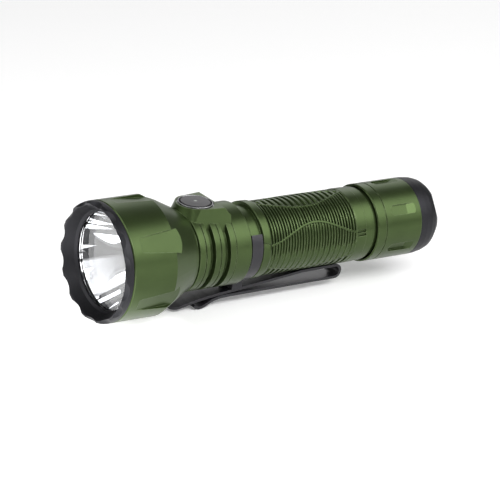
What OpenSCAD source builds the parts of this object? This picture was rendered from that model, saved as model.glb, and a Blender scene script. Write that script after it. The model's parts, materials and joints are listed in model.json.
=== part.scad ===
// Hand-held tactical flashlight with a 21700 cell, a side switch, a tail switch and a two-way clip.
// Millimetres. The optical axis lies along Y and the beam leaves towards -Y. The side switch faces +Z.
// The origin is the centre of the flat tail end. Most stations are given as s, the distance
// behind the seam between the front bezel and the head.

/* [Body] */
// Distance from the bezel seam to the flat tail end
body_len = 130; // [129.5:0.5:131]
// Radius of the head barrel
head_r = 20; // [19.8:0.1:20.5]
// Radius of the smooth collar behind the side switch
collar_r = 13.9; // [13.8:0.05:14.2]
// Radius over the grip ribs
grip_r = 12.6; // [12.5:0.05:12.8]
// Radius of the tail cap
cap_r = 13.3; // [13.2:0.05:13.6]

/* [Head] */
// Station where the head barrel turns into its rear cone
shoulder_s = 16.2; // [15.5:0.1:17]
// Number of milled pockets around the head and around the tail cap
pocket_count = 6; // [4:1:8]
// Turn of the pockets about the axis, away from the switch plane
pocket_turn = -5; // [-10:1:10]
// Number of scallops on the front bezel
bezel_scallops = 14; // [10:1:16]
// How far the bezel crest stands ahead of the seam
bezel_reach = 3.1; // [2.9:0.1:3.3]

/* [Optics] */
// Radius of the glass lens
lens_r = 17.1; // [17:0.05:17.2]
// Thickness of the glass lens
lens_t = 2.4; // [2:0.1:2.4]
// Radius of the reflector mouth
mirror_r = 16.3; // [16:0.1:16.4]
// Depth of the reflector parabola
mirror_depth = 21; // [20.8:0.1:21.2]

/* [Side switch] */
// Station of the side switch
switch_s = 34.7; // [34.4:0.1:35]
// Height of the flat pad around the side switch
pad_z = 16.1; // [16:0.05:16.3]
// Travel of the side button
side_travel = 0.7; // [0.5:0.05:0.7]

/* [Grip] */
// Pitch of the grip ribs
rib_pitch = 1.18; // [1.18:0.01:1.3]
// Depth of the grooves between the ribs
rib_depth = 0.55; // [0.3:0.05:0.6]

/* [Clip] */
// Width of the clip's spring strip, at its wide front part
clip_w = 8; // [7:0.5:8]
// Width of the strip where it turns back at the tail end
clip_loop_w = 6.2; // [5.5:0.1:7]
// Thickness of the clip's spring strip
clip_t = 0.9; // [0.8:0.05:0.9]

/* [Tail] */
// Travel of the tail button
tail_travel = 1.2; // [0.8:0.1:1.2]
// Radius of the tail button
tail_button_r = 8.7; // [8.6:0.05:8.75]

/* [Hidden] */
$fn = 96;
eps = 0.01;
thread_gap = 0.08;

// Stations along the axis, from the bezel crest to the rear of the cell
crest_s = -bezel_reach;
lens_s = 2.25;
mirror_s = lens_s + lens_t + 0.05;
mirror_end_s = 24.7;
board_s = 25.3;
board_t = 1.6;
shelf_s = board_s + board_t;
driver_cavity_s = 29.4;
neck_s = 29.5;
driver_s = 41.1;
driver_t = 1.4;
ring_s = driver_s + driver_t + 0.1;
tube_s = 44.8;
groove_s = 50;
flange_s = 55.2;
ribs_s = 58.6;
band_s = 94;
band_step_s = 98;
band_end_s = 101.3;
cap_s = 102.5;
cap_groove_s = 106.05;
tube_end_s = 109;
cap_end_s = 121.2;
cell_s = 45.2;
cell_end_s = 116.4;

// Grooves around the neck: start, end, depth and length of each sloping wall
neck_grooves = [[31.55, 31.95, 0.35, 0.05], [33.2, 35.45, 1.6, 0.3],
                [37.4, 37.8, 0.35, 0.05], [39, 41.35, 1.6, 0.3], [43.55, 43.85, 0.2, 0.05]];

// Radii
skirt_r = 18.8;
skirt_bore_r = 18;
lip_r = 14;
lip_s = 28.1;
cavity_r = 9.4;
driver_bore_r = 11.4;
front_thread_r = 12;
rear_thread_r = 12.1;
cell_bore_r = 10.95;
cell_r = 10.7;
groove_r = 11.8;
band_r = 12.7;
flange_r = 13.1;
rear_bore_r = 11.6;
guard_bore_r = 10.3;

// O-ring section, and the mean radii and stations of the two tube rings
o_ring_d = 0.62;
head_o_ring_r = 11.72;
head_o_ring_s = 48.7;
tail_o_ring_r = 11.84;
tail_o_ring_s = 104.1;

// Light engine wiring and screws
screw_place_r = 9.5;
wire_x = 6;
wire_z = -4;
emitter_w = 3.5;

// Head pockets: flat floors that run out over the rear cone
pocket_front_s = 4.6;
pocket_front_w = 5;
pocket_rear_w = 9.4;
pocket_len = 19;
pocket_tilt = 6.2;

// Reflector focal constant: r * r = focal * (distance ahead of the vertex)
mirror_focal = mirror_r * mirror_r / mirror_depth;
mirror_vertex_s = mirror_s + mirror_depth;
function mirror_at(s) = sqrt(mirror_focal * (mirror_vertex_s - s));

// Side switch stack, as heights above the axis
switch_hole_r = 6.05;
switch_floor_z = 10.8;
switch_board_z = switch_floor_z;
switch_board_t = 0.8;
switch_nub_z = 12.9;
switch_boot_z = 13;
switch_boot_t = 0.4;
button_flange_z = switch_boot_z + switch_boot_t + side_travel + 0.05;
button_flange_t = 0.6;
switch_ring_z = button_flange_z + button_flange_t + 0.1;
switch_ring_r = 6.2;
switch_ring_bore_r = 5.5;
switch_ring_top_r = 5.85;
button_r = 5.15;
indicator_r = 0.55;
switch_wire_x = 0.7;

// Switch pad: round front wall, sides that part towards the rear, and the stations of its rear ramp
pad_front_r = 6.75;
pad_draft = 1.6;
pad_side_turn = 7;
pad_ramp_s = 41.2;
pad_end_s = 43.55;

// Clip: an open ring, and a strip folded back on itself through a loop. Heights are below the axis.
clip_ring_r = groove_r + thread_gap;
clip_ring_t = 1.2;
clip_open = 60;
strip_top_z = -12.85;
loop_r = 2.6;
loop_s = 94.2;
outer_z = strip_top_z - 2 * loop_r + clip_t / 2;
clip_front_s = 28;
clip_nose_r = 3;

// Tail switch stack, as stations
tail_board_s = 120.2;
tail_board_t = 1.2;
tail_floor_s = tail_board_s + tail_board_t;
tail_dome_s = tail_floor_s + 1.5;
tail_pin_s = tail_dome_s + tail_travel + 0.2;
tail_flange_s = tail_pin_s + 0.3;
tail_flange_r = guard_bore_r - 0.4;
tail_magnet_s = tail_flange_s + 0.6;
guard_lip_s = 127.4;

// ---- helpers ----

// Puts a shape drawn along +Z, with z as the station s, onto the light's axis
module on_axis() {
    translate([0, -body_len, 0])
        rotate([-90, 0, 0])
            children();
}

// A turned solid from [radius, station] points
module turned(points) {
    on_axis()
        rotate_extrude()
            polygon(points);
}

// A disc or drum along the axis
module drum(r, s0, s1) {
    on_axis()
        translate([0, 0, s0])
            cylinder(r = r, h = s1 - s0);
}

// A ring along the axis
module ring(r_out, r_in, s0, s1) {
    turned([[r_in, s0], [r_out, s0], [r_out, s1], [r_in, s1]]);
}

// A round-section ring along the axis
module o_ring(r_mid, section, s) {
    on_axis()
        rotate_extrude()
            translate([r_mid, s])
                circle(d = section, $fn = 32);
}

// An upright drum at the side switch
module upright(r, z0, z1) {
    translate([0, switch_s - body_len, z0])
        cylinder(r = r, h = z1 - z0);
}

// Copies a shape around the axis, turned as the pockets are
module around(count, turn = 0) {
    for (i = [0 : count - 1])
        rotate([0, turn + i * 360 / count, 0])
            children();
}

// A coil spring along the axis from one radius to another, as a swept tube
function coil_point(t, r0, r1, s0, s1, turns) =
    let (a = 360 * turns * t, r = r0 + (r1 - r0) * t)
        [r * cos(a), s0 + (s1 - s0) * t - body_len, r * sin(a)];
function coil_rim(t, r0, r1, s0, s1, turns, wire, sides) =
    let (a = 360 * turns * t, c = coil_point(t, r0, r1, s0, s1, turns))
        [for (j = [0 : sides - 1])
            let (b = 360 * j / sides)
                c + wire / 2 * [cos(b) * cos(a), sin(b), cos(b) * sin(a)]];
module coil(r0, r1, s0, s1, turns, wire) {
    sides = 8;
    steps = ceil(turns * 20);
    rims = [for (i = [0 : steps])
        coil_rim(i / steps, r0, r1, s0 + wire / 2, s1 - wire / 2, turns, wire, sides)];
    side_faces = [for (i = [0 : steps - 1], j = [0 : sides - 1])
        let (k = (j + 1) % sides)
            [i * sides + j, (i + 1) * sides + j, (i + 1) * sides + k, i * sides + k]];
    first_cap = [for (j = [0 : sides - 1]) j];
    last_cap = [for (j = [0 : sides - 1]) steps * sides + sides - 1 - j];
    polyhedron(points = [for (rim = rims) each rim],
               faces = concat(side_faces, [first_cap, last_cap]));
}

// ---- front end ----

module front_bezel() {
    color([0.09, 0.09, 0.1])
        difference() {
            turned([[16.1, lens_s - 0.1], [16.15, 1.4], [16.9, 0.6], [18.6, crest_s + 0.35],
                    [18.85, crest_s + 0.1], [19.2, crest_s], [19.55, crest_s + 0.2],
                    [19.85, crest_s + 1], [head_r, crest_s + 2.2], [head_r, -0.3],
                    [skirt_r, -0.3], [skirt_r, 9], [skirt_bore_r, 9],
                    [skirt_bore_r, lens_s - 0.1]]);
            around(bezel_scallops, pocket_turn)
                bezel_scallop();
        }
}

// A shallow dish in the crest's outer edge
module bezel_scallop() {
    translate([0, crest_s - 5.1 - body_len, head_r + 4.25])
        sphere(r = 8);
}

module lens_glass() {
    color([0.8, 0.9, 0.95, 0.35])
        turned([[0, lens_s], [lens_r - 0.3, lens_s], [lens_r, lens_s + 0.3],
                [lens_r, lens_s + lens_t - 0.3], [lens_r - 0.3, lens_s + lens_t],
                [0, lens_s + lens_t]]);
}

module lens_o_ring() {
    color([0.05, 0.05, 0.05])
        o_ring((lens_r + skirt_bore_r) / 2, skirt_bore_r - lens_r - 0.02, lens_s + lens_t / 2);
}

module reflector() {
    steps = 18;
    curve = [for (i = [0 : steps])
        let (s = mirror_s + (mirror_end_s - mirror_s) * i / steps)
            [mirror_at(s), s]];
    color([0.85, 0.86, 0.88])
        turned(concat(curve, [[7.6, mirror_end_s], [17.2, mirror_s + 1.7],
                              [skirt_bore_r - 0.1, mirror_s + 1.6],
                              [skirt_bore_r - 0.1, mirror_s]]));
}

// White plastic ring that centres the emitter in the reflector's throat
module led_centering_ring() {
    color([0.93, 0.93, 0.9])
        difference() {
            union() {
                drum(3.5, 24.2, 24.95);
                drum(4.6, 24.95, board_s);
            }
            emitter_block(emitter_w + 0.2, 24, board_s + 1);
        }
}

// A square block centred on the axis
module emitter_block(w, s0, s1) {
    translate([-w / 2, s0 - body_len, -w / 2])
        cube([w, s1 - s0, w]);
}

module led_emitter() {
    color([0.95, 0.85, 0.35]) {
        emitter_block(emitter_w, 24.6, board_s);
        drum(1.4, 24.35, 24.6);
    }
}

module led_board() {
    color([0.72, 0.45, 0.2])
        difference() {
            drum(11.2, board_s, shelf_s);
            led_screw_places()
                rotate([90, 0, 0])
                    cylinder(r = 0.9, h = 20, center = true);
        }
}

module led_screw_places() {
    for (side = [-1, 1])
        translate([side * screw_place_r, shelf_s - body_len, 0])
            children();
}

// Two small pan-head screws that hold the board on the head's shelf
module led_board_screws() {
    color([0.7, 0.7, 0.72])
        led_screw_places()
            rotate([90, 0, 0]) {
                translate([0, 0, -2])
                    cylinder(r = 0.8, h = board_t + 2 + eps);
                translate([0, 0, board_t])
                    difference() {
                        cylinder(r = 1.4, h = 0.9);
                        translate([0, 0, 0.5])
                            cylinder(r = 0.7, h = 1, $fn = 6);
                    }
            }
}

module led_lead_wires() {
    color([0.75, 0.1, 0.1])
        for (side = [-1, 1])
            translate([side * wire_x, 0, wire_z])
                drum(0.5, shelf_s, driver_s);
}

// ---- head ----

module head_shell() {
    color([0.33, 0.42, 0.23])
        difference() {
            union() {
                head_outside();
                switch_pad();
            }
            head_bores();
            upright(switch_ring_r, switch_ring_z, pad_z + 5);
            upright(switch_hole_r, switch_floor_z, pad_z + 5);
            around(pocket_count, pocket_turn)
                head_pocket();
        }
}

// Barrel, cone, lip and grooved neck, turned as one profile
module head_outside() {
    front = [[0, 0.05], [head_r - 0.3, 0.05], [head_r, 0.35], [head_r, shoulder_s],
             [lip_r + 0.5, lip_s - 0.9], [lip_r + 0.15, lip_s - 0.1], [lip_r, lip_s + 0.4],
             [lip_r - 0.9, lip_s + 0.5], [lip_r - 0.9, neck_s - 0.3],
             [collar_r - 0.2, neck_s - 0.2], [collar_r, neck_s]];
    grooves = [for (g = neck_grooves) each groove_points(g[0], g[1], g[2], g[3])];
    rear = [[collar_r, groove_s - 0.4], [collar_r - 0.4, groove_s], [0, groove_s]];
    turned(concat(front, grooves, rear));
}

function groove_points(s0, s1, depth, slope) =
    [[collar_r, s0], [collar_r - depth, s0 + slope], [collar_r - depth, s1 - slope],
     [collar_r, s1]];

// Raised flat pad around the side switch, with a round front and a ramped rear
module switch_pad() {
    intersection() {
        union() {
            upright_cone(pad_front_r + pad_draft, pad_front_r, 11.5, pad_z);
            translate([-10, switch_s - body_len, 0])
                cube([20, 12, pad_z]);
        }
        pad_length_outline();
        pad_side();
        mirror([1, 0, 0])
            pad_side();
    }
}

module upright_cone(r_low, r_high, z0, z1) {
    translate([0, switch_s - body_len, 0]) {
        cylinder(r = r_low, h = z0 + eps);
        translate([0, 0, z0])
            cylinder(r1 = r_low, r2 = r_high, h = z1 - z0);
    }
}

// Seen from the side: flat top with a ramp down to the collar
module pad_length_outline() {
    translate([-10, 0, 0])
        rotate([90, 0, 90])
            linear_extrude(height = 20)
                translate([-body_len, 0])
                    polygon([[24, 8], [24, pad_z], [pad_ramp_s, pad_z],
                             [pad_end_s, collar_r - 0.3], [pad_end_s, 8]]);
}

// Everything inside one of the two leaning side walls, which part towards the rear
module pad_side() {
    translate([0, switch_s - body_len, 0])
        rotate([90, 0, -pad_side_turn])
            linear_extrude(height = 30, center = true)
                polygon([[-15, 8], [8.4, 8], [7.6, 11.4], [6.65, pad_z], [-15, pad_z]]);
}

module head_bores() {
    turned([[0, -1], [skirt_r + 0.1, -1], [skirt_r + 0.1, 9.2], [17.8, 9.3], [17.8, 15],
            [11.3, board_s], [11.3, shelf_s], [0, shelf_s]]);
    drum(cavity_r, driver_cavity_s, driver_s + eps);
    drum(driver_bore_r, driver_s, tube_s + eps);
    drum(front_thread_r + 0.05, tube_s - 0.2, groove_s + 1);
    led_screw_places()
        rotate([90, 0, 0])
            translate([0, 0, -2.1])
                cylinder(r = 0.8, h = 3);
    for (side = [-1, 1])
        translate([side * wire_x, 0, wire_z])
            drum(1, shelf_s - 1, driver_cavity_s + 1);
    translate([0, switch_s - body_len, 0])
        cylinder(r = 1.5, h = switch_floor_z + 1);
}

// A flat-floored pocket that starts shallow on the barrel and runs out over the rear cone
module head_pocket() {
    translate([0, pocket_front_s - body_len, head_r - 0.25])
        rotate([-pocket_tilt, 0, 0])
            linear_extrude(height = 6) {
                polygon([[-pocket_front_w / 2, 0], [pocket_front_w / 2, 0],
                         [pocket_rear_w / 2, pocket_len], [-pocket_rear_w / 2, pocket_len]]);
                intersection() {
                    circle(d = pocket_front_w);
                    translate([-3, -1.2])
                        square([6, 2]);
                }
            }
}

// ---- side switch ----

module switch_bezel_ring() {
    color([0.62, 0.63, 0.65])
        translate([0, switch_s - body_len, 0])
            rotate_extrude()
                polygon([[switch_ring_bore_r, switch_ring_z],
                         [switch_ring_r - 0.02, switch_ring_z],
                         [switch_ring_r - 0.02, pad_z - 0.4],
                         [switch_ring_top_r, pad_z - 0.4],
                         [switch_ring_top_r, pad_z + 0.2],
                         [switch_ring_top_r - 0.08, pad_z + 0.28],
                         [switch_ring_bore_r + 0.1, pad_z + 0.28],
                         [switch_ring_bore_r, pad_z + 0.18]]);
}

module switch_button() {
    color([0.48, 0.47, 0.5])
        translate([0, switch_s - body_len, 0])
            rotate_extrude()
                polygon([[indicator_r, button_flange_z],
                         [button_r + 0.62, button_flange_z],
                         [button_r + 0.62, button_flange_z + button_flange_t],
                         [button_r, button_flange_z + button_flange_t],
                         [button_r, pad_z + 0.2], [button_r - 0.25, pad_z + 0.4],
                         [2, pad_z + 0.52], [indicator_r, pad_z + 0.52]]);
}

module switch_indicator_lens() {
    color([0.75, 0.8, 0.75])
        upright(indicator_r, button_flange_z + 0.4, pad_z + 0.5);
}

module switch_boot() {
    color([0.1, 0.1, 0.1])
        upright(switch_hole_r - 0.02, switch_boot_z, switch_boot_z + switch_boot_t);
}

module switch_board() {
    color([0.1, 0.4, 0.2])
        difference() {
            upright(switch_hole_r - 0.15, switch_board_z, switch_board_z + switch_board_t);
            for (side = [-1, 1])
                translate([side * switch_wire_x, 0, 0])
                    upright(0.4, switch_board_z - 1, switch_board_z + 2);
        }
}

module switch_dome() {
    dome_base_z = switch_board_z + switch_board_t;
    color([0.75, 0.75, 0.7]) {
        translate([-2.2, switch_s - body_len - 2.2, dome_base_z])
            cube([4.4, 4.4, 1]);
        upright(1.1, dome_base_z + 1, switch_nub_z);
    }
}

module switch_lead_wires() {
    color([0.9, 0.75, 0.1])
        for (side = [-1, 1])
            translate([side * switch_wire_x, 0, 0])
                upright(0.38, 2, switch_board_z + switch_board_t);
}

// ---- driver ----

module driver_board() {
    color([0.08, 0.35, 0.2])
        difference() {
            drum(driver_bore_r - 0.1, driver_s, driver_s + driver_t);
            drum(1, driver_s - 1, driver_s + 0.5);
        }
}

// Inductor, two transistors and the controller on the front of the driver board
module driver_components() {
    color([0.2, 0.2, 0.22]) {
        part_block(-2.6, -5.6, 5.2, 3.6, 3);
        part_block(-7, 1, 3.4, 3.4, 1.2);
        part_block(3.6, 1, 3.4, 3.4, 1.2);
        part_block(-2, 4.4, 4, 3, 1);
    }
}

module part_block(x, z, w, h, tall) {
    translate([x, driver_s - tall - body_len, z])
        cube([w, tall, h]);
}

module driver_retaining_ring() {
    color([0.75, 0.6, 0.25])
        difference() {
            ring(driver_bore_r - 0.05, 8.9, ring_s, tube_s - 0.3);
            for (side = [-1, 1])
                translate([side * 10.2, 0, 0])
                    drum(0.6, ring_s - 1, tube_s);
        }
}

module head_contact_spring() {
    color([0.8, 0.65, 0.3])
        coil(3.2, 2.2, driver_s + driver_t, cell_s - 0.05, 3, 0.5);
}

module head_o_ring() {
    color([0.06, 0.06, 0.06])
        o_ring(head_o_ring_r, o_ring_d, head_o_ring_s);
}

// ---- battery tube ----

module battery_tube() {
    color([0.3, 0.4, 0.2])
        difference() {
            union() {
                turned(tube_outline());
                grip_ribs();
            }
            drum(cell_bore_r, tube_s - 1, tube_end_s + 1);
            for (turn = [78.5, 84, -78.5, -84])
                band_slot(turn);
        }
}

function tube_outline() =
    [[0, tube_s], [front_thread_r - 0.3, tube_s], [front_thread_r, tube_s + 0.3],
     [front_thread_r, head_o_ring_s - 0.35], [11.4, head_o_ring_s - 0.35],
     [11.4, head_o_ring_s + 0.35], [front_thread_r, head_o_ring_s + 0.35],
     [front_thread_r, groove_s], [groove_r, groove_s + 0.02], [groove_r, flange_s],
     [flange_r - 0.2, flange_s], [flange_r, flange_s + 0.2], [flange_r, ribs_s - 0.5],
     [flange_r - 0.4, ribs_s], [grip_r - rib_depth, ribs_s],
     [grip_r - rib_depth, band_s], [band_r - 0.1, band_s], [band_r, band_s + 0.1],
     [band_r, band_step_s - 0.1], [band_r - 0.12, band_step_s],
     [band_r - 0.12, band_end_s - 0.2], [band_r - 0.3, band_end_s],
     [rear_thread_r, band_end_s], [rear_thread_r, tail_o_ring_s - 0.5],
     [11.5, tail_o_ring_s - 0.5], [11.5, tail_o_ring_s + 0.5],
     [rear_thread_r, tail_o_ring_s + 0.5], [rear_thread_r, tube_end_s - 0.4],
     [rear_thread_r - 0.4, tube_end_s], [0, tube_end_s]];

module grip_ribs() {
    rib_count = floor((band_s - ribs_s) / rib_pitch);
    for (i = [0 : rib_count - 1])
        ring_rib(ribs_s + (i + 0.5) * (band_s - ribs_s) / rib_count);
}

// One rounded-off rib around the tube
module ring_rib(s) {
    foot_r = grip_r - rib_depth - 0.2;
    turned([[foot_r, s - 0.36], [grip_r - 0.1, s - 0.3], [grip_r, s - 0.18],
            [grip_r, s + 0.18], [grip_r - 0.1, s + 0.3], [foot_r, s + 0.36]]);
}

// A short shallow slot in the smooth band, at the end of a wave line
module band_slot(turn) {
    rotate([0, turn, 0])
        translate([-0.35, band_s + 0.6 - body_len, band_r - 0.35])
            cube([0.7, 3.2, 2]);
}

module tail_o_ring() {
    color([0.06, 0.06, 0.06])
        o_ring(tail_o_ring_r, o_ring_d, tail_o_ring_s);
}

// ---- clip ----

module pocket_clip() {
    color([0.08, 0.08, 0.09]) {
        clip_ring();
        clip_strip();
    }
}

// Open spring ring that snaps into the groove of the tube
module clip_ring() {
    difference() {
        ring(clip_ring_r + clip_ring_t, clip_ring_r, groove_s + 0.6, flange_s - 0.4);
        translate([0, groove_s - body_len, 0])
            rotate([-90, 0, 0])
                linear_extrude(height = 10)
                    polygon([[0, 0], [30 * sin(clip_open), -30 * cos(clip_open)],
                             [30, -40], [-30, -40],
                             [-30 * sin(clip_open), -30 * cos(clip_open)]]);
    }
}

// The strip with the foot that carries the ring: side outline and plan together
module clip_strip() {
    intersection() {
        translate([-clip_w / 2, 0, 0])
            rotate([90, 0, 90])
                linear_extrude(height = clip_w)
                    translate([-body_len, 0]) {
                        bent_strip(inner_points());
                        rear_loop();
                        bent_strip(outer_points());
                        polygon([[50.7, -12.4], [54.7, -12.4], [54.7, -15.6], [50.7, -16]]);
                    }
        clip_plan();
    }
}

// Seen from above: rounded nose, full width as far as the ribs, then narrower towards the loop
module clip_plan() {
    half = clip_w / 2;
    nose = [for (a = [0 : 15 : 90])
        [half - clip_nose_r * (1 - cos(a)), clip_front_s + clip_nose_r * (1 - sin(a))]];
    side = concat([[clip_loop_w / 2, loop_s + loop_r + 1], [half, ribs_s]], nose);
    translate([0, -body_len, -25])
        linear_extrude(height = 15)
            polygon(concat(side, [for (i = [len(side) - 1 : -1 : 0]) [-side[i][0], side[i][1]]]));
}

// Runs straight from its turned-down nose past the ring, then levels out along the ribs
function inner_points() =
    [[27.5, -19.9], [28.9, -19.45], [31, -18.85], [34, -18.2], [38, -17.45], [42, -16.85],
     [46, -16.45], [80, strip_top_z - clip_t / 2], [loop_s, strip_top_z - clip_t / 2]];

// Comes forward from the loop and ends in a rounded curl below the inner run
function outer_points() =
    [[loop_s, outer_z], [90, outer_z], [84, -17.5], [60, -17.4], [50, -17.45],
     [46, -17.65], [43.8, -18.1], [42, -18.9], [40.6, -19.7], [39.3, -20.15], [38, -20.3],
     [36.9, -20], [36.2, -19.35]];

// Half round at the tail end, where the strip turns back on itself
module rear_loop() {
    translate([loop_s, strip_top_z - loop_r])
        difference() {
            circle(r = loop_r);
            circle(r = loop_r - clip_t);
            translate([-2 * loop_r, -2 * loop_r])
                square([2 * loop_r, 4 * loop_r]);
        }
}

// A strip of even thickness along a path, mitred at its bends
module bent_strip(path) {
    last = len(path) - 1;
    polygon(concat([for (i = [0 : last]) path[i] + side_step(path, i)],
                   [for (i = [last : -1 : 0]) path[i] - side_step(path, i)]));
}

// Half the thickness, square to the path at its ends and along the mitre at its bends
function side_step(path, i) =
    let (before = left_of(path[max(i - 1, 0)], path[max(i, 1)]),
         after = left_of(path[min(i, len(path) - 2)], path[min(i + 1, len(path) - 1)]),
         both = before + after)
        both * clip_t / (both * both);
function left_of(a, b) = [a[1] - b[1], b[0] - a[0]] / norm(b - a);

// ---- cell ----

module cell_can() {
    color([0.75, 0.75, 0.77])
        drum(cell_r - 0.2, cell_s + 1, cell_end_s - 0.1);
}

module cell_wrap() {
    color([0.12, 0.25, 0.45])
        turned([[cell_r - 0.19, cell_s + 0.75], [cell_r, cell_s + 0.75],
                [cell_r, cell_end_s], [cell_r - 1.4, cell_end_s],
                [cell_r - 1.4, cell_end_s - 0.09], [cell_r - 0.19, cell_end_s - 0.09]]);
}

module cell_insulator() {
    color([0.9, 0.9, 0.85])
        ring(cell_r - 0.25, 4.1, cell_s + 0.7, cell_s + 0.98);
}

module cell_positive_cap() {
    color([0.8, 0.8, 0.8])
        turned([[0, cell_s], [3.6, cell_s], [4, cell_s + 0.4], [4, cell_s + 1],
                [0, cell_s + 1]]);
}

// ---- tail ----

module tail_cap_shell() {
    color([0.33, 0.42, 0.23])
        difference() {
            turned([[rear_thread_r + 0.7, cap_s], [cap_r - 0.35, cap_s], [cap_r, cap_s + 0.35],
                    [cap_r, cap_groove_s - 0.05], [cap_r - 0.25, cap_groove_s],
                    [cap_r - 0.25, cap_groove_s + 0.35], [cap_r, cap_groove_s + 0.4],
                    [cap_r, cap_end_s], [rear_bore_r, cap_end_s],
                    [rear_bore_r, 118.8], [10.9, 118.8], [10.9, 118.4], [11.1, 118.4],
                    [11.1, tube_end_s + 0.3], [rear_thread_r + thread_gap, tube_end_s + 0.1],
                    [rear_thread_r + thread_gap, cap_s + 0.9]]);
            around(pocket_count, pocket_turn)
                tail_pocket();
        }
}

// A round-ended slot with a ramp at its rear
module tail_pocket() {
    w = 3.5;
    start_s = 110.4;
    floor_r = cap_r - 0.8;
    translate([0, start_s - body_len, floor_r]) {
        cylinder(d = w, h = 3);
        translate([-w / 2, 0, 0])
            rotate([90, 0, 90])
                linear_extrude(height = w)
                    polygon([[0, 0], [5.6, 0], [9.6, 1], [9.6, 3], [0, 3]]);
    }
}

module tail_guard_ring() {
    color([0.09, 0.09, 0.1])
        difference() {
            turned([[guard_bore_r, 118.9], [rear_bore_r - 0.05, 118.9],
                    [rear_bore_r - 0.05, cap_end_s + 0.05], [cap_r - 0.15, cap_end_s + 0.05],
                    [cap_r, cap_end_s + 0.3], [cap_r - 0.1, 124], [cap_r - 0.4, 126.3],
                    [cap_r - 1, 128.2], [cap_r - 1.9, 129.5], [cap_r - 2.4, body_len],
                    [tail_button_r + 0.6, body_len], [tail_button_r + 0.3, body_len - 0.3],
                    [tail_button_r + 0.3, guard_lip_s], [guard_bore_r, guard_lip_s]]);
            around(pocket_count, pocket_turn)
                guard_scallop();
        }
}

// A rounded dip in the rear edge, where a finger reaches the tail button
module guard_scallop() {
    dip_r = 7.5;
    dip_depth = 1.7;
    translate([0, dip_r - dip_depth, cap_r / 2])
        cylinder(r = dip_r, h = cap_r);
}

module tail_spring() {
    color([0.8, 0.65, 0.3])
        coil(5, 7.5, cell_end_s + 0.05, tail_board_s, 4, 0.8);
}

module tail_board() {
    color([0.08, 0.35, 0.2])
        drum(guard_bore_r - 0.05, tail_board_s, tail_floor_s);
}

module tail_board_ring() {
    color([0.75, 0.6, 0.25])
        ring(guard_bore_r - 0.05, 8.6, 119, tail_board_s - 0.05);
}

// Snap dome switch ahead of the tail button's contact pin
module tail_snap_dome() {
    color([0.75, 0.75, 0.7]) {
        translate([-2.6, tail_floor_s - body_len, -2.6])
            cube([5.2, 1, 5.2]);
        drum(1.5, tail_floor_s + 1, tail_dome_s);
    }
}

module tail_return_spring() {
    color([0.7, 0.7, 0.72])
        coil(8.7, 8.7, tail_floor_s, tail_flange_s - 0.05, 3, 0.6);
}

module tail_button_seal() {
    color([0.06, 0.06, 0.06])
        ring(guard_bore_r - 0.05, tail_button_r + thread_gap, guard_lip_s - 1.05, guard_lip_s - 0.05);
}

// Flat metal button with a flange that stops it behind the guard ring's lip
module tail_button() {
    flange_end_s = tail_flange_s + 1.5;
    roof_s = body_len - 1.4;
    color([0.6, 0.6, 0.62])
        turned([[7.6, tail_flange_s], [tail_flange_r, tail_flange_s],
                [tail_flange_r, flange_end_s], [tail_button_r, flange_end_s],
                [tail_button_r, body_len - 0.3], [tail_button_r - 0.3, body_len],
                [5.6, body_len], [5.4, body_len - 0.2], [5, body_len - 0.2],
                [4.8, body_len], [2.7, body_len], [2.7, roof_s], [7.6, roof_s]]);
}

module tail_magnet() {
    color([0.7, 0.7, 0.72])
        ring(7.5, 2.8, tail_magnet_s, body_len - 1.45);
}

module charge_contact_pin() {
    color([0.85, 0.7, 0.3])
        turned([[0, tail_pin_s], [1.2, tail_pin_s], [1.6, tail_pin_s + 0.4], [1.6, body_len],
                [0, body_len]]);
}

module charge_contact_insulator() {
    color([0.1, 0.1, 0.1])
        ring(2.68, 1.62, tail_magnet_s, body_len - 0.02);
}

front_bezel();
lens_glass();
lens_o_ring();
reflector();
led_centering_ring();
led_emitter();
led_board();
led_board_screws();
led_lead_wires();
head_shell();
switch_bezel_ring();
switch_button();
switch_indicator_lens();
switch_boot();
switch_board();
switch_dome();
switch_lead_wires();
driver_board();
driver_components();
driver_retaining_ring();
head_contact_spring();
head_o_ring();
battery_tube();
pocket_clip();
tail_o_ring();
cell_can();
cell_wrap();
cell_insulator();
cell_positive_cap();
tail_cap_shell();
tail_guard_ring();
tail_spring();
tail_board();
tail_board_ring();
tail_snap_dome();
tail_return_spring();
tail_button_seal();
tail_button();
tail_magnet();
charge_contact_pin();
charge_contact_insulator();
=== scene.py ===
import json
import math

import bmesh
import bpy
import numpy as np
from mathutils import Matrix, Vector


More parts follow.
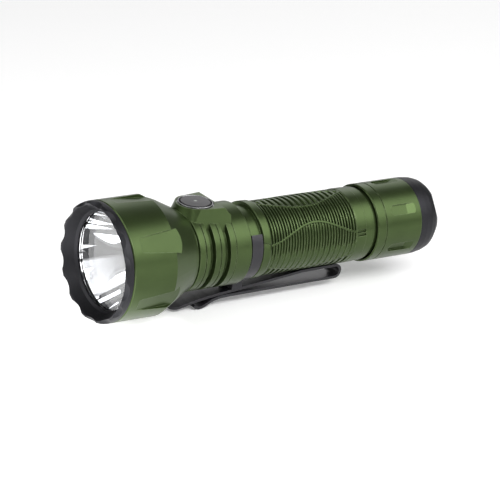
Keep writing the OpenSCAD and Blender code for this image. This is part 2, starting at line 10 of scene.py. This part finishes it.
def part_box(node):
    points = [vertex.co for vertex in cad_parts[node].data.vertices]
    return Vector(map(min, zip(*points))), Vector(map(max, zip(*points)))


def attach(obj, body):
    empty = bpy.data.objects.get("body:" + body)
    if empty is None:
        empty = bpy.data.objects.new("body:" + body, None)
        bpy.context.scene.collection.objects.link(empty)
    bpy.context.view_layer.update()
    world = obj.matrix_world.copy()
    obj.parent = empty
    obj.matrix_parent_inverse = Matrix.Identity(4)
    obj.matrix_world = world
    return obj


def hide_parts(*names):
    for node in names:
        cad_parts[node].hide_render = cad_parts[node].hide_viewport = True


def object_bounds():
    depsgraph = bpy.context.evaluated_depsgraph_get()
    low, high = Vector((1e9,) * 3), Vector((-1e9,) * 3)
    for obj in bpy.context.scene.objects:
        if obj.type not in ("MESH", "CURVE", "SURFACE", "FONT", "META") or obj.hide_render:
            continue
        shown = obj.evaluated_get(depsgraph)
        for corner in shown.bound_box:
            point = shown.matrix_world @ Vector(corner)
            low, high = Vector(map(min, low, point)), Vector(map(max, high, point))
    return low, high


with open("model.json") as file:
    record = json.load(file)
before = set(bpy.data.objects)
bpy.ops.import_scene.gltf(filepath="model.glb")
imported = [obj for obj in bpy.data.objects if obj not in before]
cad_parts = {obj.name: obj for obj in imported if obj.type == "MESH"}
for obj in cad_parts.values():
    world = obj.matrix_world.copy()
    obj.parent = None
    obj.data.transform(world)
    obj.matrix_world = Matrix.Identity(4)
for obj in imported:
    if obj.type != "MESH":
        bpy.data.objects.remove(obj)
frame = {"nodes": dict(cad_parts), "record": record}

MM = 0.001
TAU = 2 * math.pi
NODES = frame["nodes"]
CAD_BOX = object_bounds()

# The seam behind the bezel is where stations start; s is the distance behind it in millimetres
SEAM_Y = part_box("head_shell")[0].y - 0.05 * MM


def place(x, s, z):
    """A point from millimetres across, station and height."""
    return Vector((x * MM, SEAM_Y + s * MM, z * MM))


# ---- material nodes ----

class Shader:
    """A material under construction, with short calls for its nodes."""

    def __init__(self, name):
        self.material = bpy.data.materials.new(name)
        self.material.use_nodes = True
        self.tree = self.material.node_tree
        self.surface = self.tree.nodes["Principled BSDF"]

    def node(self, kind, **settings):
        made = self.tree.nodes.new(kind)
        for key, value in settings.items():
            setattr(made, key, value)
        return made

    def wire(self, source, target):
        self.tree.links.new(source, target)

    def feed(self, made, **inputs):
        """Sets or links a node's inputs by name, with spaces as underscores."""
        for key, value in inputs.items():
            socket = made.inputs[key.replace("_", " ")]
            if isinstance(value, bpy.types.NodeSocket):
                self.wire(value, socket)
            else:
                socket.default_value = value
        return made

    def set(self, **inputs):
        self.feed(self.surface, **inputs)

    def position(self):
        """Object coordinates, in metres, which ride with the piece."""
        return self.node("ShaderNodeTexCoord").outputs["Object"]

    def stretched(self, scale):
        mapping = self.node("ShaderNodeMapping")
        mapping.inputs["Scale"].default_value = scale
        self.wire(self.position(), mapping.inputs["Vector"])
        return mapping.outputs["Vector"]

    def noise(self, scale, detail=2.0, roughness=0.5, vector=None):
        made = self.node("ShaderNodeTexNoise")
        self.wire(vector or self.position(), made.inputs["Vector"])
        self.feed(made, Scale=scale, Detail=detail, Roughness=roughness)
        return made.outputs["Fac"]

    def ramp(self, value, low, high, to_low=0.0, to_high=1.0):
        made = self.node("ShaderNodeMapRange")
        self.wire(value, made.inputs["Value"])
        for key, number in zip(("From Min", "From Max", "To Min", "To Max"),
                               (low, high, to_low, to_high)):
            made.inputs[key].default_value = number
        return made.outputs["Result"]

    def mix(self, factor, a, b):
        made = self.node("ShaderNodeMix", data_type="RGBA")
        self.wire(factor, made.inputs["Factor"])
        for socket, value in ((made.inputs["A"], a), (made.inputs["B"], b)):
            if isinstance(value, bpy.types.NodeSocket):
                self.wire(value, socket)
            else:
                socket.default_value = value
        return made.outputs["Result"]

    def math(self, operation, a, b):
        made = self.node("ShaderNodeMath", operation=operation)
        for socket, value in zip(made.inputs, (a, b)):
            if isinstance(value, bpy.types.NodeSocket):
                self.wire(value, socket)
            else:
                socket.default_value = value
        return made.outputs["Value"]

    def bump(self, height, strength, distance, normal=None):
        made = self.feed(self.node("ShaderNodeBump"), Strength=strength, Distance=distance)
        self.wire(height, made.inputs["Height"])
        if normal is not None:
            self.wire(normal, made.inputs["Normal"])
        return made.outputs["Normal"]

    def rounded(self, radius):
        """The normal of softly broken edges."""
        made = self.node("ShaderNodeBevel", samples=6)
        made.inputs["Radius"].default_value = radius
        return made.outputs["Normal"]

    def edge_mask(self, radius):
        """Near 1 on edges and 0 on faces."""
        dot = self.node("ShaderNodeVectorMath", operation="DOT_PRODUCT")
        self.wire(self.rounded(radius), dot.inputs[0])
        self.wire(self.node("ShaderNodeNewGeometry").outputs["Normal"], dot.inputs[1])
        return self.ramp(dot.outputs["Value"], 0.995, 0.9)


def rgb(*values):
    return (*values, 1.0)


def turning_lines(shader, pitch):
    """Fine lines left by the lathe, which follow the station only."""
    return shader.noise(1.0, detail=1.0, vector=shader.stretched((0.0, 1 / pitch, 0.0)))


def anodised(name, colour, worn, metallic, roughness, grain):
    """Blasted and anodised aluminium: fine grain, faint lathe lines, edges worn a little paler."""
    shader = Shader(name)
    patches = shader.noise(90.0, detail=3.0)
    tint = shader.mix(shader.ramp(patches, 0.35, 0.65), rgb(*[0.93 * c for c in colour]),
                      rgb(*[1.07 * c for c in colour]))
    edges = shader.math("MULTIPLY", shader.edge_mask(0.22 * MM),
                        shader.ramp(shader.noise(700.0, detail=3.0), 0.4, 0.7, 0.25, 0.8))
    shader.set(Base_Color=shader.mix(edges, tint, rgb(*worn)), Metallic=metallic)
    fine = shader.noise(1 / grain, detail=3.0, roughness=0.6)
    lines = turning_lines(shader, 0.12 * MM)
    blend = shader.math("ADD", shader.ramp(fine, 0.3, 0.7, -0.05, 0.05),
                        shader.ramp(lines, 0.3, 0.7, roughness - 0.02, roughness + 0.02))
    shader.set(Roughness=blend)
    soft = shader.rounded(0.15 * MM)
    lathe = shader.bump(lines, 0.12, 0.01 * MM, soft)
    shader.set(Normal=shader.bump(fine, 0.22, 0.02 * MM, lathe))
    return shader.material


# How far the roughness of bare metal varies with its scratches
SCRATCH_SPREAD = 0.05


def plain_metal(name, colour, roughness):
    """Turned or stamped bare metal with short scratches round the axis."""
    shader = Shader(name)
    lines = turning_lines(shader, 0.08 * MM)
    stains = shader.noise(260.0, detail=3.0)
    shader.set(Base_Color=shader.mix(shader.ramp(stains, 0.3, 0.7), rgb(*[0.9 * c for c in colour]),
                                     rgb(*colour)),
               Metallic=1.0,
               Roughness=shader.ramp(lines, 0.3, 0.7, roughness - SCRATCH_SPREAD,
                                     roughness + SCRATCH_SPREAD))
    shader.set(Normal=shader.bump(lines, 0.15, 0.01 * MM, shader.rounded(0.08 * MM)))
    return shader.material


def moulded(name, colour, roughness, grain=0.25 * MM, coat=0.0):
    """Moulded plastic, rubber or lacquer with a fine matt grain."""
    shader = Shader(name)
    fine = shader.noise(1 / grain, detail=2.0)
    shader.set(Base_Color=shader.mix(shader.ramp(fine, 0.3, 0.7), rgb(*[0.9 * c for c in colour]),
                                     rgb(*[1.08 * c for c in colour])),
               Roughness=shader.ramp(fine, 0.3, 0.7, roughness - 0.05, roughness + 0.05),
               Coat_Weight=coat)
    shader.set(Normal=shader.bump(fine, 0.2, 0.03 * MM))
    return shader.material


def lens_material():
    shader = Shader("coated_glass")
    smudge = shader.noise(120.0, detail=4.0)
    shader.set(Base_Color=rgb(1.0, 1.0, 1.0), Transmission_Weight=1.0, IOR=1.45,
               Roughness=shader.ramp(smudge, 0.4, 0.8, 0.0, 0.01))
    return shader.material


def mirror_material():
    """Vapour-metallised bowl with the faintest orange peel."""
    shader = Shader("mirror_coat")
    peel = shader.noise(500.0, detail=1.0)
    shader.set(Base_Color=rgb(0.9, 0.91, 0.93), Metallic=1.0,
               Roughness=shader.ramp(peel, 0.3, 0.7, 0.005, 0.015))
    shader.set(Normal=shader.bump(peel, 0.015, 0.01 * MM))
    return shader.material


def phosphor_material():
    """Yellow phosphor square under a clear dome."""
    shader = Shader("phosphor")
    fine = shader.noise(4000.0, detail=2.0)
    shader.set(Base_Color=shader.mix(shader.ramp(fine, 0.3, 0.7), rgb(0.75, 0.55, 0.08),
                                     rgb(0.85, 0.68, 0.14)),
               Roughness=0.5, Coat_Weight=0.8, Coat_Roughness=0.05)
    return shader.material


def make_materials():
    green = anodised("green_anodised", colour=(0.048, 0.074, 0.024), worn=(0.19, 0.24, 0.13),
                     metallic=0.82, roughness=0.34, grain=0.2 * MM)
    black = anodised("black_anodised", colour=(0.022, 0.022, 0.025), worn=(0.09, 0.09, 0.095),
                     metallic=0.8, roughness=0.48, grain=0.2 * MM)
    spring_black = anodised("black_steel", colour=(0.022, 0.021, 0.025), worn=(0.09, 0.09, 0.1),
                            metallic=0.4, roughness=0.34, grain=0.15 * MM)
    return {
        "black_anodised": black,
        "green_anodised": green,
        "clear_glass": lens_material(),
        "mirror_coat": mirror_material(),
        "seal_rubber": moulded("seal_rubber", (0.022, 0.022, 0.022), 0.6),
        "white_plastic": moulded("white_plastic", (0.8, 0.8, 0.77), 0.5),
        "phosphor": phosphor_material(),
        "bare_copper": plain_metal("bare_copper", (0.75, 0.42, 0.25), 0.3),
        "board_green": moulded("board_green", (0.03, 0.16, 0.07), 0.35, coat=0.4),
        "dark_plastic": moulded("dark_plastic", (0.03, 0.03, 0.034), 0.45),
        "bright_steel": plain_metal("bright_steel", (0.42, 0.42, 0.43), 0.28),
        "button_metal": plain_metal("button_metal", (0.06, 0.058, 0.062), 0.38),
        "black_steel": spring_black,
        "contact_gold": plain_metal("contact_gold", (0.95, 0.72, 0.35), 0.22),
        "nickel": plain_metal("nickel", (0.72, 0.71, 0.68), 0.2),
        "wire_red": moulded("wire_red", (0.5, 0.02, 0.02), 0.4),
        "wire_yellow": moulded("wire_yellow", (0.7, 0.45, 0.02), 0.4),
        "cell_wrap_blue": moulded("cell_wrap_blue", (0.03, 0.08, 0.24), 0.3, coat=0.5),
        "indicator": moulded("indicator", (0.2, 0.22, 0.2), 0.3, coat=0.3),
    }


MATERIALS = make_materials()


def dress_cad_nodes():
    """Every CAD node gets the finish of its slot in the record."""
    for entry in frame["record"]["subparts"]:
        mesh = NODES[entry["node"]].data
        mesh.materials.clear()
        mesh.materials.append(MATERIALS[entry["material_slot"]])


# ---- mesh helpers ----

def add_piece(name, mesh, slot, body, replaced):
    """Links a new mesh as a piece that stands for a CAD node and rides on its body."""
    piece = bpy.data.objects.new(name, mesh)
    bpy.context.scene.collection.objects.link(piece)
    mesh.materials.clear()
    mesh.materials.append(MATERIALS[slot])
    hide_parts(replaced)
    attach(piece, body)


def ring_mesh(name, points, sharp_deg):
    """A mesh over a grid of points [row, column, xyz] that closes on itself both ways."""
    rows, columns = points.shape[:2]
    index = np.arange(rows * columns).reshape(rows, columns)
    below = np.roll(index, -1, axis=0)
    right, below_right = np.roll(index, -1, axis=1), np.roll(below, -1, axis=1)
    quads = np.stack([index, right, below_right, below], axis=-1)
    mesh = bpy.data.meshes.new(name)
    mesh.from_pydata(points.reshape(-1, 3).tolist(), [], quads.reshape(-1, 4).tolist())
    finish_mesh(mesh, sharp_deg)
    return mesh


def finish_mesh(mesh, sharp_deg):
    """Points the faces outwards and shades the mesh smooth up to an edge angle."""
    work = bmesh.new()
    work.from_mesh(mesh)
    bmesh.ops.remove_doubles(work, verts=work.verts, dist=1e-7)
    bmesh.ops.recalc_face_normals(work, faces=work.faces)
    work.to_mesh(mesh)
    work.free()
    mesh.shade_smooth()
    mesh.set_sharp_from_angle(angle=math.radians(sharp_deg))
    mesh.update()


TURNED_COLUMNS = 256


def turned_mesh(name, profile, sharp_deg):
    """A closed turned solid from [radius, station] points in millimetres."""
    columns = TURNED_COLUMNS
    angles = np.arange(columns) * TAU / columns
    radius, station = np.array(profile, float).T
    points = np.empty((len(profile), columns, 3))
    points[..., 0] = radius[:, None] * np.sin(angles) * MM
    points[..., 1] = (SEAM_Y + station * MM)[:, None]
    points[..., 2] = radius[:, None] * np.cos(angles) * MM
    return ring_mesh(name, points, sharp_deg)


def smooth_step(value, low, high):
    t = np.clip((value - low) / (high - low), 0, 1)
    return t * t * (3 - 2 * t)


# ---- reflector ----

MIRROR_R = 16.3
MIRROR_DEPTH = 21.0
MIRROR_FRONT_S = 4.7
MIRROR_END_S = 24.7


def make_reflector():
    """A true parabola, fine enough for clean reflections, with its rim and thin rear wall."""
    focal = MIRROR_R ** 2 / MIRROR_DEPTH
    stations = np.linspace(MIRROR_FRONT_S, MIRROR_END_S, 90)
    bowl = [(math.sqrt(focal * (MIRROR_FRONT_S + MIRROR_DEPTH - s)), s) for s in stations]
    back = [(7.6, MIRROR_END_S), (17.2, 6.4), (17.9, 6.3), (17.9, MIRROR_FRONT_S)]
    mesh = turned_mesh("reflector_bowl", bowl + back, sharp_deg=30)
    add_piece("reflector_bowl", mesh, "mirror_coat", "light_body", "reflector")


# ---- battery tube ----

GRIP_R = 12.6
GRIP_START_S = 58.6
BAND_START_S = 94.0
FLANGE_START_S = 55.2
TUBE_COLUMNS = 600
# From the middle of one groove to the next, and where the middle of one of them lies
RIB_PITCH = 1.144
GROOVE_S = 62.36
# The two slots at the end of each side wave: their ends, centres in degrees and depth
SLOT_S = (94.2, 97.8)
SLOT_CENTRES = (78.3, 84.2)
SLOT_DEPTH = 0.75


def side_wave(s):
    """Angle, in degrees from the switch, of the wave line along each side."""
    return 80 - 13.5 * (1 - np.cos(TAU * (s - 57) / 40))


def top_wave(s):
    """Half angle of the eye-shaped field along the top."""
    return 24 - 28.2 * (1 - np.cos(TAU * (s - 76) / 80))


def bottom_wave(s):
    """Angle of the wave line low on each side."""
    return 135 - 11 * (1 - np.cos(TAU * (s - 76) / 52))


def grooves(s, centre, floor, wall):
    """1 on the floors and 0 between an even row of grooves, two rib pitches apart."""
    offset = np.abs((s - centre + RIB_PITCH) % (2 * RIB_PITCH) - RIB_PITCH)
    return 1 - smooth_step(offset, floor / 2, floor / 2 + wall)


def grip_cut(s, angle):
    """Depth of the milled grip, in millimetres below its crests."""
    side, top, bottom = side_wave(s), top_wave(s), bottom_wave(s)
    every_second = grooves(s, GROOVE_S, 0.46, 0.17)
    between = grooves(s, GROOVE_S - RIB_PITCH, 0.4, 0.17)
    coarse = 0.8 * grooves(s, GROOVE_S, 0.75, 0.28)
    fine = 0.8 * np.maximum(every_second, 0.85 * between)
    fading = 1 - smooth_step(angle, 90, 108)
    lower = (0.3 + 0.3 * fading) * np.maximum(every_second, fading * between)
    soft = 1.3
    cut = fine + (coarse - fine) * (1 - smooth_step(angle, top - soft, top + soft))
    cut = cut + (lower - cut) * smooth_step(angle, side - soft, side + soft)
    cut = cut + (coarse - cut) * smooth_step(angle, bottom - soft, bottom + soft)
    for line, width in ((side, 1.3), (np.abs(top), 1.1), (bottom, 1.3)):
        away = np.abs(angle - line)
        ridge = 1 - smooth_step(away, width, width + 0.9)
        cut = cut * (1 - ridge) - 0.06 * ridge
    shoulder = smooth_step(s, GRIP_START_S, GRIP_START_S + 0.3)
    return cut * shoulder * (1 - smooth_step(s, BAND_START_S - 0.35, BAND_START_S))


def band_cut(s, angle):
    """Two short slots at the end of each side wave."""
    along = smooth_step(s, SLOT_S[0], 94.4) * (1 - smooth_step(s, 97.5, SLOT_S[1]))
    cut = 0.0
    for centre in SLOT_CENTRES:
        cut = cut + SLOT_DEPTH * (1 - smooth_step(np.abs(angle - centre), 1.3, 2.1))
    return cut * along


def flange_cut(s, angle):
    """A flat milled across the flange where each side wave starts."""
    slant = angle - 1.2 * (s - 57)
    inside = smooth_step(slant, 75.2, 76.2) * (1 - smooth_step(slant, 84, 85))
    return inside * 0.06 * (85 - slant)


def tube_rows():
    """[radius, station, kind] along the closed outline, finely divided where it is milled."""
    front = [(10.95, 44.8), (11.7, 44.8), (12.0, 45.1), (12.0, 48.35), (11.4, 48.35),
             (11.4, 49.05), (12.0, 49.05), (12.0, 50.0), (11.8, 50.02), (11.8, 55.15),
             (11.85, FLANGE_START_S), (12.9, FLANGE_START_S)]
    flange = [(13.1, s) for s in np.arange(FLANGE_START_S + 0.2, 58.15, 0.2)]
    flange += [(12.95, 58.4), (12.7, 58.58)]
    grip = [(GRIP_R, s) for s in np.arange(GRIP_START_S, BAND_START_S, 0.115)]
    band = [(12.6, 94.0), (12.7, 94.1)] + [(12.7, s) for s in np.arange(94.3, 98.0, 0.15)]
    rear = [(12.58, 98.0), (12.58, 101.1), (12.4, 101.3), (12.1, 101.3), (12.1, 103.6),
            (11.5, 103.6), (11.5, 104.6), (12.1, 104.6), (12.1, 108.6), (11.7, 109.0),
            (10.95, 109.0)]
    kinds = ["plain"] * len(front) + ["flange"] * len(flange) + ["grip"] * len(grip)
    kinds += ["band"] * len(band) + ["plain"] * len(rear)
    return front + flange + grip + band + rear, kinds


def make_tube():
    columns = TUBE_COLUMNS
    angles = (np.arange(columns) + 0.5) * 360 / columns
    folded = np.where(angles > 180, 360 - angles, angles)
    rows, kinds = tube_rows()
    cuts = {"flange": flange_cut, "grip": grip_cut, "band": band_cut}
    points = np.empty((len(rows), columns, 3))
    for i, ((radius, s), kind) in enumerate(zip(rows, kinds)):
        cut = cuts[kind](s, folded) if kind in cuts else 0.0
        r = radius - cut
        points[i, :, 0] = r * np.sin(np.radians(angles)) * MM
        points[i, :, 1] = SEAM_Y + s * MM
        points[i, :, 2] = r * np.cos(np.radians(angles)) * MM
    mesh = ring_mesh("battery_tube_milled", points, sharp_deg=40)
    add_piece("battery_tube_milled", mesh, "green_anodised", "light_body", "battery_tube")


# ---- camera, light and floor ----

# The photograph's camera: focal length on a 36 mm sensor, place, and its axes in the frame
CAMERA_LENS = 207.7
CAMERA_PLACE = (0.705371, -0.615752, 0.345941)
CAMERA_RIGHT = (0.5725, 0.8123, 0.1113)
CAMERA_UP = (-0.3603, 0.1273, 0.9241)
CAMERA_BACK = (0.7365, -0.5692, 0.3655)


def make_camera():
    data = bpy.data.cameras.new("camera")
    data.sensor_width = 36.0
    data.lens = CAMERA_LENS
    data.clip_end = 50.0
    camera = bpy.data.objects.new("camera", data)
    bpy.context.scene.collection.objects.link(camera)
    turn = Matrix((CAMERA_RIGHT, CAMERA_UP, CAMERA_BACK)).transposed()
    camera.matrix_world = Matrix.Translation(CAMERA_PLACE) @ turn.to_4x4()
    bpy.context.scene.camera = camera


def softbox(name, place_at, aim, size, radiance):
    """A rectangular area light of a given brightness, in metres, facing a point."""
    data = bpy.data.lights.new(name, "AREA")
    data.shape = "RECTANGLE"
    data.size, data.size_y = size
    data.energy = radiance * math.pi * size[0] * size[1]
    light = bpy.data.objects.new(name, data)
    bpy.context.scene.collection.objects.link(light)
    light.location = place_at
    light.rotation_mode = "QUATERNION"
    light.rotation_quaternion = (Vector(aim) - Vector(place_at)).to_track_quat("-Z", "Y")


def heading(azimuth, height):
    """A direction by degrees from straight ahead towards +X, and by degrees above the horizon."""
    turn, rise = math.radians(azimuth), math.radians(height)
    return Vector((math.sin(turn) * math.cos(rise), -math.cos(turn) * math.cos(rise),
                   math.sin(rise)))


WORLD_STRENGTH = 0.14

# Softboxes around the middle of the light: name, distance, direction, size, radiance
SOFTBOXES = [
    ("key", 0.8, (0.5, 0.57, 0.65), (0.6, 0.5), 3.2),
    ("key_low", 0.8, (0.76, 0.57, 0.3), (0.3, 0.25), 1.8),
    ("front_card", 0.8, (0.67, -0.12, 0.73), (0.42, 0.32), 9.0),
    ("back_left", 1.0, (-0.56, 0.456, 0.336), (0.5, 0.5), 1.3),
    ("side_panel", 0.7, (0.88, 0.33, 0.0), (0.16, 0.16), 4.0),
]

# Panels in front of the head, which the reflector shows as white fields with dark gaps between:
# name, azimuth, height, size, radiance
PANEL_DISTANCE = 0.6
FRONT_PANELS = [
    ("front_high", -10, 39, (0.6, 0.23), 4.0),
    ("front_right", 51, 26, (0.12, 0.19), 3.0),
    ("front_edge", 60, 6, (0.07, 0.11), 3.0),
]


def make_studio():
    middle = (CAD_BOX[0] + CAD_BOX[1]) / 2
    world = bpy.data.worlds.new("studio")
    world.use_nodes = True
    world.node_tree.nodes["Background"].inputs["Color"].default_value = rgb(1.0, 1.0, 1.0)
    world.node_tree.nodes["Background"].inputs["Strength"].default_value = WORLD_STRENGTH
    bpy.context.scene.world = world
    head = place(0, 2, 0)
    for name, distance, direction, size, radiance in SOFTBOXES:
        softbox(name, middle + distance * Vector(direction), middle, size, radiance)
    tail = place(11, 119, 8)
    softbox("tail_card", tail + 0.6 * Vector((0.74, 0.125, 0.67)), tail, (0.14, 0.14), 8.0)
    for name, azimuth, height, size, radiance in FRONT_PANELS:
        softbox(name, head + PANEL_DISTANCE * heading(azimuth, height), head, size, radiance)
    make_floor(middle)
    bpy.context.scene.view_settings.view_transform = "Standard"


# The floor gives off light of its own, in a bright patch ahead of the head that the reflector shows
FLOOR_HALF_WIDTH = 4.0
FLOOR_GAP = 0.2 * MM
PATCH_AHEAD = 0.13
PATCH_RADII = (0.09, 0.16)
PATCH_GLOW = 2.6
FLOOR_GLOW = 0.14


def make_floor(middle):
    floor_z = CAD_BOX[0].z - FLOOR_GAP
    mesh = bpy.data.meshes.new("studio_floor")
    half = FLOOR_HALF_WIDTH
    corners = [(-half, -half), (half, -half), (half, half), (-half, half)]
    points = [(middle.x + x, middle.y + y, floor_z) for x, y in corners]
    mesh.from_pydata(points, [], [(0, 1, 2, 3)])
    floor = bpy.data.objects.new("studio_floor", mesh)
    bpy.context.scene.collection.objects.link(floor)
    shader = Shader("floor_paper")
    fibre = shader.noise(900.0, detail=2.0)
    ahead = shader.node("ShaderNodeVectorMath", operation="DISTANCE")
    shader.wire(shader.position(), ahead.inputs[0])
    ahead.inputs[1].default_value = (0.0, SEAM_Y - PATCH_AHEAD, floor_z)
    shader.set(Base_Color=shader.mix(fibre, rgb(0.92, 0.92, 0.92), rgb(0.95, 0.95, 0.95)),
               Roughness=0.8, Specular_IOR_Level=0.1, Emission_Color=rgb(1.0, 1.0, 1.0),
               Emission_Strength=shader.ramp(ahead.outputs["Value"], PATCH_RADII[1],
                                             PATCH_RADII[0], FLOOR_GLOW, PATCH_GLOW))
    mesh.materials.append(shader.material)


dress_cad_nodes()
make_reflector()
make_tube()
make_camera()
make_studio()
